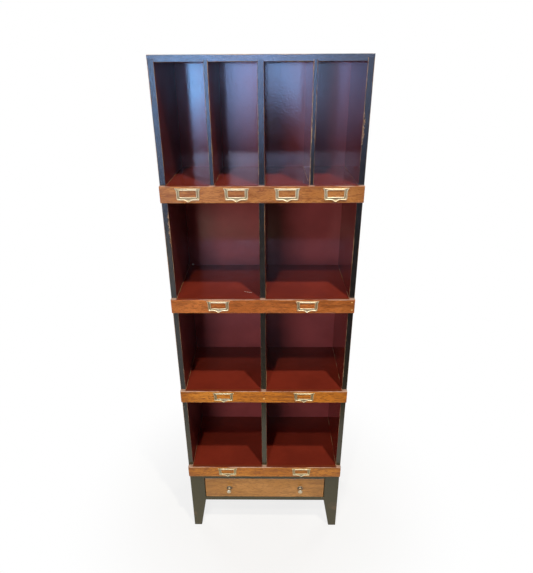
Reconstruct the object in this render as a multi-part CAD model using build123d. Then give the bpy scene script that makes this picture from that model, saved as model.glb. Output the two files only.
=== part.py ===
from build123d import *
import os

# Drapers cabinet: an open pigeonhole case on a tapered-leg stand with one drawer.
# Millimetres. +Z is up, the front faces -Y, +X is to the right of someone facing the front.
# The origin is on the floor, under the middle of the overall box.

# Case boards
cabinet_width = 600.0
carcass_depth = 285.0
board = 18.0  # sides, top, shelves and centre dividers
quarter_board = 12.0  # the two thinner dividers of the top tier
back_thickness = 6.0
lower_tiers = 3  # equal tiers below the top one
tier_pitch = 370.0  # shelf top to shelf top
top_tier_height = 344.0  # highest shelf top to the top of the case
housing_depth = 5.0  # how far shelves and dividers sit in their grooves
rebate_width = 9.0  # lap of the back panel, and of the top on the sides
arris_radius = 1.0  # eased front edges

# Label rails and what fixes them
rail_height = 50.0
rail_thickness = 13.0
rail_radius = 1.6
plug_diameter = 9.0
plug_length = 5.0
rail_screw_diameter = 4.0
rail_screw_head = 3.0  # height of the head under the plug
rail_screw_bite = 25.0  # length in the shelf's front edge

# Card frames and their pins
frame_drop = 5.0  # rail top to frame top
ear_width = 76.6  # over the two ears at the top corners
ear_height = 3.0
ear_sweep = 9.0  # height of the hollow curve under an ear
frame_width = 68.6
frame_height = 35.6  # without the tongue
frame_corner = 5.0
tongue_width = 30.0
tongue_drop = 6.0
tongue_lap = 2.5  # how far the tongue runs up the frame
tongue_projection = 3.4
ridge_share = 0.42  # size of the tongue's raised face against its root
ridge_place_share = 0.33  # how far down the tongue that face starts
window_width = 48.6
window_height = 19.6
window_drop = 7.0  # frame top to window top
window_corner = 1.2
plate_thickness = 2.0
rim_width = 1.7
rim_height = 1.1  # the raised beads, above the plate
card_gap = 0.8  # depth of the card's channel behind the plate
card_lap = 3.0  # how far the card passes the window's edges
pin_spread = 59.0
pin_rise = 5.4  # frame bottom to pin
pin_diameter = 1.6
pin_head_diameter = 3.0
pin_head_height = 0.9
pin_bevel_share = 0.7  # of the head's height
pin_bite = 8.0  # length in the rail

# Stand
floor_clearance = 150.0  # floor to the lower drawer rail, where the legs start to taper
lower_rail_height = 18.0
drawer_opening = 103.0
upper_rail_height = 25.0
leg_width = 57.0
foot_width = 31.0
leg_radius = 2.0
apron_thickness = 18.0
apron_setback = 3.0
drawer_rail_depth = 45.0
tenon_thickness = 8.0
tenon_length = 22.0
tenon_shoulder = 8.0  # what the tenon leaves at each edge of its piece
dowel_diameter = 8.0
dowel_length = 50.0

# What carries the drawer
runner_width = 20.0
guide_height = 22.0
stop_width = 30.0
stop_length = 17.0
stop_height = 6.0
stop_place_share = 0.5  # of the way from the middle to the legs

# Drawer
drawer_side_gap = 2.5  # drawer front to leg
drawer_top_gap = 1.5
running_gap = 0.5  # under the drawer and beside its guides
stop_gap = 0.3
drawer_rear_gap = 14.0
drawer_front_thickness = 18.0
drawer_side_thickness = 10.0
drawer_side_step = 8.0  # how far the sides stay below the front's top edge
drawer_back_step = 6.0  # how far the back stays below the sides
drawer_back_inset = 8.0  # rear ends of the sides to the back
drawer_back_thickness = 10.0
drawer_back_housing = 4.0
drawer_bottom_thickness = 5.0
drawer_bottom_rise = 10.0
drawer_groove = 5.0
dovetail_count = 3
dovetail_lap = 6.0  # wood left in front of the tails
tail_tip_share = 0.64  # of the spacing of the tails
tail_root_share = 0.50

# Knobs
knob_spread = 288.0
knob_projection = 23.0
knob_head_diameter = 17.5
knob_head_length = 9.0
knob_head_flare = 1.5  # how far the head widens from its underside
knob_neck_diameter = 8.5
knob_rose_diameter = 22.0
knob_rose_thickness = 2.5
knob_dome = 2.6  # rise of the front face
knob_screw_diameter = 4.0
knob_screw_bite = 10.0
knob_screw_head_diameter = 8.0
knob_screw_head = 2.5

overrun = 1.0  # how far a cut passes an open face
half_share = 0.5

# Places worked out from the sizes above
half_width = cabinet_width / 2
inner_half = half_width - board
front_y = (knob_projection - carcass_depth) / 2
back_y = front_y + carcass_depth
panel_y = back_y - back_thickness
rail_y = front_y - rail_thickness

lower_rail_top = floor_clearance + lower_rail_height
upper_rail_bottom = lower_rail_top + drawer_opening
stand_height = upper_rail_bottom + upper_rail_height
first_shelf_top = stand_height + rail_height
shelf_tops = [first_shelf_top + level * tier_pitch for level in range(lower_tiers + 1)]
overall_height = shelf_tops[-1] + top_tier_height
top_underside = overall_height - board

pigeonhole = (inner_half - board / 2 - quarter_board) / 2
quarter_x = board / 2 + pigeonhole + quarter_board / 2
centre_divider = (0, board)
top_dividers = [(-quarter_x, quarter_board), centre_divider, (quarter_x, quarter_board)]
top_frames = [-quarter_x - (quarter_board + pigeonhole) / 2, -(board + pigeonhole) / 2]
top_frames += [-x for x in reversed(top_frames)]
lower_frames = [-(board / 2 + inner_half) / 2, (board / 2 + inner_half) / 2]

leg_inner = half_width - leg_width
apron_inner = half_width - apron_setback - apron_thickness
apron_back_y = back_y - apron_setback - apron_thickness
rail_rear_y = front_y + drawer_rail_depth
dowel_inset = (leg_width - tenon_length) / 2
front_dowel_y = front_y + dowel_inset
back_dowel_y = back_y - dowel_inset

drawer_half = leg_inner - drawer_side_gap
drawer_bottom_z = lower_rail_top + running_gap
drawer_front_top = upper_rail_bottom - drawer_top_gap
drawer_side_top = drawer_front_top - drawer_side_step
drawer_inner_y = front_y + drawer_front_thickness
drawer_rear_y = apron_back_y - drawer_rear_gap
drawer_inner_half = drawer_half - drawer_side_thickness
drawer_floor = drawer_bottom_z + drawer_bottom_rise + drawer_bottom_thickness
knob_z = (drawer_bottom_z + drawer_front_top) / 2


def block(x, y, z):
    """A box between two bounds along each axis."""
    spans = (x, y, z)
    size = [high - low for low, high in spans]
    centre = [(low + high) / 2 for low, high in spans]
    return Pos(*centre) * Box(*size)


def eased(solid, along, radius):
    """The two front edges that run along an axis, rounded over."""
    return fillet(solid.edges().filter_by(along).group_by(Axis.Y)[0], radius)


def forward(x, y, z):
    """A plane facing the front, for what is turned or pressed about an axis along Y."""
    return Plane(origin=(x, y, z), x_dir=(1, 0, 0), z_dir=(0, -1, 0))


def rod(diameter, start, end):
    """A round bar along its plane's normal."""
    return extrude(Plane.XY.offset(start) * Circle(diameter / 2), end - start)


def right_of(solid):
    """The matching piece on the other side."""
    return mirror(solid, about=Plane.YZ)


# Case


def divider_groove(divider, z):
    """A through groove for one divider, open at the front."""
    centre, thickness = divider
    x = (centre - thickness / 2, centre + thickness / 2)
    return block(x, (front_y - overrun, panel_y + overrun), z)


def side_panel():
    """Left side: grooved for the shelves, rebated for the back."""
    panel = eased(
        block((-half_width, -inner_half), (front_y, back_y), (stand_height, top_underside + rebate_width)),
        Axis.Z,
        arris_radius,
    )
    groove_x = (-inner_half - housing_depth, -inner_half + overrun)
    for top in shelf_tops:
        panel -= block(groove_x, (front_y - overrun, panel_y + overrun), (top - board, top))
    rebate_x = (-inner_half - rebate_width, -inner_half + overrun)
    rebate_z = (stand_height - overrun, overall_height)
    panel -= block(rebate_x, (panel_y, back_y + overrun), rebate_z)
    for y in (front_dowel_y, back_dowel_y):
        panel -= stand_dowel(-1, y)
    return panel


def top_board():
    """Top: its rebated ends lap the sides, and its underside takes the top tier's dividers."""
    top = eased(
        block((-half_width, half_width), (front_y, back_y), (top_underside, overall_height)),
        Axis.X,
        arris_radius,
    )
    lap_z = (top_underside - overrun, top_underside + rebate_width)
    for x in ((-half_width - overrun, -inner_half), (inner_half, half_width + overrun)):
        top -= block(x, (front_y - overrun, back_y + overrun), lap_z)
    panel_half = inner_half + rebate_width
    top -= block((-panel_half, panel_half), (panel_y, back_y + overrun), lap_z)
    for divider in top_dividers:
        top -= divider_groove(divider, (top_underside - overrun, top_underside + housing_depth))
    return top


def back_panel():
    """Thin back, let into the rebates of the sides and the top."""
    panel_half = inner_half + rebate_width
    return block((-panel_half, panel_half), (panel_y, back_y), (stand_height, top_underside + rebate_width))


def shelf(top, above, below):
    """A shelf housed in both sides, grooved for the dividers above and below it."""
    shelf_half = inner_half + housing_depth
    plank = block((-shelf_half, shelf_half), (front_y, panel_y), (top - board, top))
    for divider in above:
        plank -= divider_groove(divider, (top - housing_depth, top + overrun))
    for divider in below:
        plank -= divider_groove(divider, (top - board - overrun, top - board + housing_depth))
    return plank - rail_screw(top)


def upright(divider, floor, ceiling):
    """A divider standing in the grooves of the boards under and over it."""
    centre, thickness = divider
    x = (centre - thickness / 2, centre + thickness / 2)
    z = (floor - housing_depth, ceiling + housing_depth)
    return eased(block(x, (front_y, panel_y), z), Axis.Z, arris_radius)


# Label rails


def rail_screw(top):
    """A screw through the middle of a rail into the shelf's edge, its head under the plug."""
    head = rod(plug_diameter, -plug_length - rail_screw_head, -plug_length)
    shank = rod(rail_screw_diameter, -rail_thickness - rail_screw_bite, -plug_length)
    return forward(0, rail_y, top - board / 2) * (head + shank)


def rail_plug(top):
    """The turned plug over a rail's screw."""
    return forward(0, rail_y, top - board / 2) * rod(plug_diameter, -plug_length, 0)


def label_rail(top, frames):
    """A rail planted on the front, its top level with the shelf."""
    rail = eased(
        block((-half_width, half_width), (rail_y, front_y), (top - rail_height, top)), Axis.X, rail_radius
    )
    rail -= rail_plug(top)
    rail -= rail_screw(top)
    for x in frames:
        for shank in at_pins(pin_shank(), x, top):
            rail -= shank
    return rail


# Card frames


def mirrored_face(half):
    """The face inside half an outline, drawn on the right, and its mirror image."""
    return make_face(half + [mirror(edge, about=Plane.YZ) for edge in half])


def frame_outline():
    """Front view of a card frame: eared top, hollow shoulders, round lower corners."""
    ear_x = ear_width / 2
    side_x = frame_width / 2
    shoulder = (side_x, -ear_height - ear_sweep)
    corner = (side_x, frame_corner - frame_height)
    base = (side_x - frame_corner, -frame_height)
    return mirrored_face(
        [
            Line((0, 0), (ear_x, 0)),
            Line((ear_x, 0), (ear_x, -ear_height)),
            TangentArc(shoulder, (ear_x, -ear_height), tangent=(0, 1)),
            Line(shoulder, corner),
            TangentArc(corner, base, tangent=(0, -1)),
            Line(base, (0, -frame_height)),
        ]
    )


def tongue_face(share):
    """The tongue at a share of its size: square at its root, with an ogee lower edge."""
    half = share * tongue_width / 2
    drop = share * tongue_drop
    root_y = tongue_lap - frame_height - (1 - share) * (tongue_lap + tongue_drop) * ridge_place_share
    edge_y = root_y - share * tongue_lap
    turn = (half / 2, edge_y - drop / 2)
    return mirrored_face(
        [
            Line((0, root_y), (half, root_y)),
            Line((half, root_y), (half, edge_y)),
            TangentArc((half, edge_y), turn, tangent=(-1, 0)),
            TangentArc((0, edge_y - drop), turn, tangent=(1, 0)),
        ]
    )


def frame_tongue():
    """The finger tongue, narrowing to the front."""
    ridge = Pos(0, 0, plate_thickness + tongue_projection) * tongue_face(ridge_share)
    return loft([tongue_face(1), ridge], ruled=True)


def card_frame():
    """A pressed brass card frame: beaded edge and window, card channel behind, open at the top."""
    outline = frame_outline()
    window_middle = Pos(0, -window_drop - window_height / 2)
    window = window_middle * RectangleRounded(window_width, window_height, window_corner)
    bead = window_middle * RectangleRounded(
        window_width + 2 * rim_width, window_height + 2 * rim_width, window_corner + rim_width
    )
    frame = extrude(outline, plate_thickness)
    frame += extrude(outline - offset(outline, -rim_width), plate_thickness + rim_height)
    frame += extrude(bead, plate_thickness + rim_height)
    frame += frame_tongue()
    frame -= extrude(window, plate_thickness + rim_height + overrun)
    card_half = window_width / 2 + card_lap
    card_bottom = -window_drop - window_height - card_lap
    frame -= block((-card_half, card_half), (card_bottom, overrun), (-overrun, card_gap))
    for spot in pin_spots():
        frame -= spot * pin_shank()
    return frame


def pin_spots():
    """A frame's two pin holes, in its lower corners."""
    return [Pos(side * pin_spread / 2, pin_rise - frame_height) for side in (-1, 1)]


def pin_shank():
    """The part of a pin in the frame and the rail."""
    return rod(pin_diameter, -pin_bite, plate_thickness)


def pin():
    """A pin with a bevelled head."""
    head = rod(pin_head_diameter, plate_thickness, plate_thickness + pin_head_height)
    return pin_shank() + chamfer(head.edges().group_by(Axis.Z)[-1], pin_head_height * pin_bevel_share)


def frame_place(x, top):
    """Where a frame lies on its rail."""
    return forward(x, rail_y, top - frame_drop)


def at_pins(shape, x, top):
    """A shape at each pin hole of the frame at one place."""
    return [frame_place(x, top) * spot * shape for spot in pin_spots()]


# Stand


def stand_dowel(side, y):
    """A dowel from a leg's top into the side panel's lower edge."""
    reach = dowel_length / 2
    return Pos(side * (half_width - board / 2), y, stand_height) * rod(dowel_diameter, -reach, reach)


def leg_section(width, z):
    """A square section with eased corners, kept to the leg's outer corner."""
    return Pos(width / 2, width / 2, z) * RectangleRounded(width, width, leg_radius)


def leg_blank():
    """A leg straight down to the lower drawer rail, then tapered on its two inner faces."""
    foot = leg_section(foot_width, 0)
    knee = leg_section(leg_width, floor_clearance)
    head = leg_section(leg_width, stand_height)
    return loft([foot, knee, head], ruled=True)


def front_left_leg():
    """Mortised for both drawer rails and the side apron."""
    leg = Pos(-half_width, front_y, 0) * leg_blank()
    for tenoned in (lower_drawer_rail(), upper_drawer_rail(), left_side_apron()):
        leg -= tenoned
    return leg - stand_dowel(-1, front_dowel_y)


def back_left_leg():
    """Mortised for the side and back aprons."""
    leg = Pos(-half_width, back_y, 0) * mirror(leg_blank(), about=Plane.XZ)
    for tenoned in (left_side_apron(), back_apron()):
        leg -= tenoned
    return leg - stand_dowel(-1, back_dowel_y)


def inset(span, by):
    """A span shortened at both ends."""
    low, high = span
    return (low + by, high - by)


def middle(span, size):
    """The middle part of a span, of a given size."""
    low, high = span
    return inset(span, (high - low - size) / 2)


def drawer_rail(z):
    """A rail lying flat between the front legs, with a tenon at each end."""
    x = (-leg_inner, leg_inner)
    y = (front_y, rail_rear_y)
    tenon = block(inset(x, -tenon_length), inset(y, tenon_shoulder), middle(z, tenon_thickness))
    return block(x, y, z) + tenon


def lower_drawer_rail():
    return drawer_rail((floor_clearance, lower_rail_top))


def upper_drawer_rail():
    return drawer_rail((upper_rail_bottom, stand_height))


def left_side_apron():
    """The stand's side, set back a little from the legs, with a tenon at each end."""
    x = (-half_width + apron_setback, -apron_inner)
    y = (front_y + leg_width, back_y - leg_width)
    z = (floor_clearance, stand_height)
    tenon = block(middle(x, tenon_thickness), inset(y, -tenon_length), inset(z, tenon_shoulder))
    return block(x, y, z) + tenon


def back_apron():
    """The stand's back, tenoned into the back legs."""
    x = (-leg_inner, leg_inner)
    y = (apron_back_y, back_y - apron_setback)
    z = (floor_clearance, stand_height)
    tenon = block(inset(x, -tenon_length), middle(y, tenon_thickness), inset(z, tenon_shoulder))
    return block(x, y, z) + tenon


# What carries the drawer


def left_strip(z):
    """A strip along the left side of the drawer's opening, from the drawer rail to the back apron."""
    return block((-leg_inner, runner_width - leg_inner), (rail_rear_y, apron_back_y), z)


def left_guide():
    """The block on the side apron that keeps the drawer straight."""
    x = (-apron_inner, -drawer_half - running_gap)
    y = (front_y + leg_width, back_y - leg_width)
    return block(x, y, (lower_rail_top, lower_rail_top + guide_height))


def left_stop():
    """A block on the lower drawer rail that the drawer front comes up against."""
    centre = -leg_inner * stop_place_share
    y = drawer_inner_y + stop_gap
    x = (centre - stop_width / 2, centre + stop_width / 2)
    return block(x, (y, y + stop_length), (lower_rail_top, lower_rail_top + stop_height))


# Drawer


def drawer_front():
    """The front: eased all round, socketed for the dovetails, grooved for the bottom."""
    front = block((-drawer_half, drawer_half), (front_y, drawer_inner_y), (drawer_bottom_z, drawer_front_top))
    front = fillet(front.faces().sort_by(Axis.Y)[0].edges(), arris_radius)
    side = left_drawer_side()
    for fitted in (side, right_of(side), drawer_bottom(), knob_screw(-1), knob_screw(1)):
        front -= fitted
    return front


def dovetail(index):
    """One tail of the left side, widening towards the front."""
    spacing = (drawer_side_top - drawer_bottom_z) / dovetail_count
    centre = drawer_bottom_z + spacing * (index + half_share)
    root = spacing * tail_root_share / 2
    tip = spacing * tail_tip_share / 2
    tip_y = front_y + dovetail_lap
    profile = make_face(
        Polyline(
            (drawer_inner_y, centre - root),
            (drawer_inner_y, centre + root),
            (tip_y, centre + tip),
            (tip_y, centre - tip),
            close=True,
        )
    )
    return extrude(Plane.YZ.offset(-drawer_half) * profile, drawer_side_thickness)


def left_drawer_side():
    """A side with half-blind dovetails in front, a groove for the bottom and a housing for the back."""
    x = (-drawer_half, -drawer_inner_half)
    side = block(x, (drawer_inner_y, drawer_rear_y), (drawer_bottom_z, drawer_side_top))
    for index in range(dovetail_count):
        side += dovetail(index)
    return side - drawer_bottom() - drawer_back()


def drawer_back():
    """The back, housed in the sides and standing on the bottom."""
    half = drawer_inner_half + drawer_back_housing
    rear = drawer_rear_y - drawer_back_inset
    y = (rear - drawer_back_thickness, rear)
    return block((-half, half), y, (drawer_floor, drawer_side_top - drawer_back_step))


def drawer_bottom():
    """The bottom, slid into the grooves from behind."""
    half = drawer_inner_half + drawer_groove
    y = (drawer_inner_y - drawer_groove, drawer_rear_y)
    return block((-half, half), y, (drawer_floor - drawer_bottom_thickness, drawer_floor))


def knob_place(side):
    """Where a knob stands on the drawer front."""
    return forward(side * knob_spread / 2, front_y, knob_z)


def knob_screw(side):
    """A pan-headed screw from inside the drawer into a knob."""
    inside = -drawer_front_thickness
    head = rod(knob_screw_head_diameter, inside - knob_screw_head, inside)
    return knob_place(side) * (head + rod(knob_screw_diameter, inside, knob_screw_bite))


def knob(side):
    """A turned knob: wide round rose, hollow neck, head with a gently domed face."""
    rose_x = knob_rose_diameter / 2
    waist_x = rose_x - knob_rose_thickness
    head_x = knob_head_diameter / 2
    head_start = knob_projection - knob_head_length
    neck = (knob_neck_diameter / 2, (knob_rose_thickness + head_start) / 2)
    rim = knob_projection - knob_dome
    throat_x = head_x - knob_head_flare
    apex = (0, knob_projection)
    half = [
        Line(apex, (0, 0)),
        Line((0, 0), (rose_x, 0)),
        TangentArc((rose_x, 0), (waist_x, knob_rose_thickness), tangent=(0, 1)),
        ThreePointArc((waist_x, knob_rose_thickness), neck, (throat_x, head_start)),
        Line((throat_x, head_start), (head_x, head_start + knob_head_flare)),
        Line((head_x, head_start + knob_head_flare), (head_x, rim)),
        TangentArc(apex, (head_x, rim), tangent=(1, 0)),
    ]
    turned = revolve(Plane.XZ * make_face(half), Axis.Z)
    return knob_place(side) * turned - knob_screw(side)


# The whole object, one shape for each piece

parts = {
    "top_board": top_board(),
    "back_panel": back_panel(),
    "back_apron": back_apron(),
    "upper_drawer_rail": upper_drawer_rail(),
    "lower_drawer_rail": lower_drawer_rail(),
    "drawer_front": drawer_front(),
    "drawer_back": drawer_back(),
    "drawer_bottom": drawer_bottom(),
}

pairs = {
    "side_panel": side_panel(),
    "side_apron": left_side_apron(),
    "runner": left_strip((floor_clearance, lower_rail_top)),
    "kicker": left_strip((upper_rail_bottom, stand_height)),
    "guide": left_guide(),
    "drawer_side": left_drawer_side(),
    "knob": knob(-1),
}
for name, piece in pairs.items():
    parts["left_" + name] = piece
    parts["right_" + name] = right_of(piece)
for name, piece in {"front": front_left_leg(), "back": back_left_leg()}.items():
    parts[name + "_left_leg"] = piece
    parts[name + "_right_leg"] = right_of(piece)

tiers = list(zip(shelf_tops, [top - board for top in shelf_tops[1:]] + [top_underside]))
shelf_names = ["bottom_board", "lower_shelf", "upper_shelf", "top_tier_shelf"]
dividers_above = [[centre_divider]] * lower_tiers + [top_dividers]
dividers_below = [[]] + [[centre_divider]] * lower_tiers
for name, top, above, below in zip(shelf_names, shelf_tops, dividers_above, dividers_below):
    parts[name] = shelf(top, above, below)
for name, (floor, ceiling) in zip(("fourth", "third", "second"), tiers):
    parts[name + "_tier_divider"] = upright(centre_divider, floor, ceiling)
for name, divider in zip(("left", "centre", "right"), top_dividers):
    parts["top_" + name + "_divider"] = upright(divider, *tiers[-1])

frame = card_frame()
frame_rows = [top_frames] + [lower_frames] * lower_tiers
frame_spots = []
for number, (top, row) in enumerate(zip(reversed(shelf_tops), frame_rows), start=1):
    parts["label_rail_" + str(number)] = label_rail(top, row)
    frame_spots += [(x, top) for x in row]
for number, (x, top) in enumerate(frame_spots, start=1):
    parts["label_frame_" + str(number)] = frame_place(x, top) * frame

groups = {
    "rail_plugs": [rail_plug(top) for top in shelf_tops],
    "rail_screws": [rail_screw(top) for top in shelf_tops],
    "label_frame_pins": [fixed for spot in frame_spots for fixed in at_pins(pin(), *spot)],
    "stand_dowels": [stand_dowel(side, y) for side in (-1, 1) for y in (front_dowel_y, back_dowel_y)],
    "drawer_stops": [left_stop(), right_of(left_stop())],
    "knob_screws": [knob_screw(-1), knob_screw(1)],
}
for name, pieces in groups.items():
    parts[name] = Compound([solid for piece in pieces for solid in piece.solids()])

os.makedirs("parts", exist_ok=True)
for name, shape in parts.items():
    export_step(shape, "parts/" + name + ".step")
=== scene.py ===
import math
import bpy
import numpy as np
from mathutils import Matrix, Vector


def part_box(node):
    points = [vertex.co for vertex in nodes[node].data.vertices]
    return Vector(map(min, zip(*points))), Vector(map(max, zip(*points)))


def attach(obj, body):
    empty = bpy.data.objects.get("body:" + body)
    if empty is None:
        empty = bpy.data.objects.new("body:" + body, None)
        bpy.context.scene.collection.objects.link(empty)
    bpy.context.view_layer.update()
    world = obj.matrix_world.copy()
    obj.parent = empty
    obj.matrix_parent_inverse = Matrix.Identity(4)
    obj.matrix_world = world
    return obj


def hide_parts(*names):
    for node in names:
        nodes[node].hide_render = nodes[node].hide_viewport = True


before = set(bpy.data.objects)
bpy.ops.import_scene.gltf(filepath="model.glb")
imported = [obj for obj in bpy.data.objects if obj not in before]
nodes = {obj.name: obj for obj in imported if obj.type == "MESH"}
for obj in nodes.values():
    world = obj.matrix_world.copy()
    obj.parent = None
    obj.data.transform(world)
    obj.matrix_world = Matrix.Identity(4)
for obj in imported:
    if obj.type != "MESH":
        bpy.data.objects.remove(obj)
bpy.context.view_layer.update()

# The case sides are two tall boards, grooved inside for the shelves. They are brushed black
# outside and on the front edge, and burgundy gloss inside. Along the front edges the film has
# rubbed through to the wood, most of all at hand height.


def add(tree, kind, sockets=None, **settings):
    """One shader node; sockets maps an input's name or number to a value or to an output to link."""
    node = tree.nodes.new("ShaderNode" + kind)
    for key, value in settings.items():
        setattr(node, key, value)
    for key, value in (sockets or {}).items():
        if isinstance(value, bpy.types.NodeSocket):
            tree.links.new(value, node.inputs[key])
        else:
            node.inputs[key].default_value = value
    return node


def calc(tree, operation, *values):
    """The result of one sum on sockets or numbers."""
    return add(tree, "Math", dict(enumerate(values)), operation=operation).outputs[0]


def spread(tree, value, low, high, to_low=0.0, to_high=1.0):
    """A smooth step: value from low to high becomes to_low to to_high."""
    sockets = {"Value": value, "From Min": low, "From Max": high, "To Min": to_low, "To Max": to_high}
    return add(tree, "MapRange", sockets, interpolation_type="SMOOTHSTEP").outputs["Result"]


def blend(tree, share, first, second):
    """Two colours mixed by a share of the second."""
    return add(tree, "MixRGB", {"Fac": share, "Color1": first, "Color2": second}).outputs["Color"]


def coordinates(tree):
    """The three coordinates of a point of the piece, in metres."""
    return add(tree, "SeparateXYZ", {0: add(tree, "TexCoord").outputs["Object"]}).outputs


def noise(tree, scale, detail=4.0, roughness=0.55, shift=(0, 0, 0)):
    """Noise with so many blots a metre along each axis; a small number draws them out."""
    point = add(tree, "TexCoord").outputs["Object"]
    placed = add(tree, "Mapping", {"Vector": point, "Location": shift, "Scale": scale}).outputs[0]
    sockets = {"Vector": placed, "Scale": 1.0, "Detail": detail, "Roughness": roughness}
    return add(tree, "TexNoise", sockets).outputs["Fac"]


def facing(tree, direction):
    """1 on faces that look along a direction, 0 on the others."""
    normal = add(tree, "NewGeometry").outputs["True Normal"]
    turned = add(tree, "VectorMath", {0: normal, 1: direction}, operation="DOT_PRODUCT").outputs["Value"]
    return calc(tree, "GREATER_THAN", turned, 0.5)


def new_material(name):
    """A node material with a surface shader and nothing else."""
    material = bpy.data.materials.new(name)
    material.use_nodes = True
    tree = material.node_tree
    tree.nodes.clear()
    surface = add(tree, "BsdfPrincipled")
    add(tree, "OutputMaterial", {"Surface": surface.outputs[0]})
    return material, tree, surface


def dress(node, material):
    """A carried-over solid gets its finish."""
    nodes[node].data.materials.clear()
    nodes[node].data.materials.append(material)


def relief(tree, surface, height, depth):
    """Surface bump from a height of 0 to 1, so many metres deep."""
    bump = add(tree, "Bump", {"Height": height, "Strength": 1.0, "Distance": depth})
    tree.links.new(bump.outputs[0], surface.inputs["Normal"])


rub_least = 0.0006
rub_widest = 0.0034
rub_share = 0.8
wander_along = 7.0
wander_across = 3.0
fray_reach = 0.0022


def front_edges(tree, node, along, bare, patch):
    """How far the film is rubbed off the two front edges of a board that runs along an axis.

    Metres to an edge are the larger of the distances to its two faces. The bare strip's width
    wanders along the board, frays, and is scaled by `bare` at the low and the high edge. `patch`
    is one worn place: the number of its edge, its height, half its length and its width."""
    low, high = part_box(node)
    point = coordinates(tree)
    across = 2 if along == 0 else 0
    behind = calc(tree, "SUBTRACT", point[1], low.y)
    reach = [wander_across, wander_across, wander_across]
    reach[along] = wander_along
    wander = noise(tree, reach, detail=5.0, roughness=0.65, shift=(low.x * 9, 0, low.z * 5))
    fray = noise(tree, (260, 260, 160), detail=4.0, roughness=0.7)
    width = spread(tree, wander, 0.36, 0.72, rub_least, rub_widest)
    width = calc(tree, "ADD", width, calc(tree, "MULTIPLY", calc(tree, "SUBTRACT", fray, 0.56), fray_reach))
    from_low = calc(tree, "SUBTRACT", point[across], low[across])
    from_high = calc(tree, "SUBTRACT", high[across], point[across])
    strips = []
    for number, (side, share) in enumerate(zip((from_low, from_high), bare)):
        edge = calc(tree, "MAXIMUM", side, behind)
        strip = calc(tree, "MULTIPLY", width, share)
        if patch and number == patch[0]:
            middle, half, most = patch[1:]
            off = calc(tree, "ABSOLUTE", calc(tree, "SUBTRACT", point[2], middle))
            worn = spread(tree, off, half * 0.45, half, most, 0.0)
            frayed = calc(tree, "MULTIPLY", worn, spread(tree, fray, 0.40, 0.62))
            strip = calc(tree, "MAXIMUM", strip, frayed)
        left = calc(tree, "SUBTRACT", strip, edge)
        strips.append(spread(tree, left, -0.0002, 0.0003))
    return calc(tree, "MULTIPLY", calc(tree, "MAXIMUM", *strips), rub_share)


def dab(tree, colour, place, radius, tint, share):
    """A small round mark: a share of a tint within a radius of a place."""
    point = add(tree, "TexCoord").outputs["Object"]
    away = add(tree, "VectorMath", {0: point, 1: place}, operation="DISTANCE").outputs["Value"]
    return blend(tree, spread(tree, away, radius * 0.6, radius, share, 0.0), colour, tint)


black = (0.006, 0.006, 0.007, 1)
black_thin = (0.016, 0.014, 0.012, 1)
# Lower down the black turns olive: partly dust, partly a painted reflection of the warm floor.
dusty_sheen_black = (0.050, 0.042, 0.015, 1)
strokes_along = 55.0
strokes_across = 200.0
dust_sheen_full = 0.35
dust_sheen_gone = 1.0
dust_sheen_share = 0.8
haze_share = 0.8
rubbed_wood = (0.26, 0.115, 0.045, 1)
rubbed_wood_pale = (0.46, 0.29, 0.15, 1)
chip_pale = (0.42, 0.40, 0.37, 1)
chip_white = (0.80, 0.78, 0.74, 1)
chip_cells = 55.0
chipless_share = 0.84
# The walls' burgundy is a darker copy of the shelves' burgundy: painted shade.
shaded_wall_burgundy = ((0.120, 0.013, 0.008, 1), (0.150, 0.017, 0.010, 1))
black_roughness = (0.20, 0.26)
rubbed_duller = 0.2
film_depth = 0.00035


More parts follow.
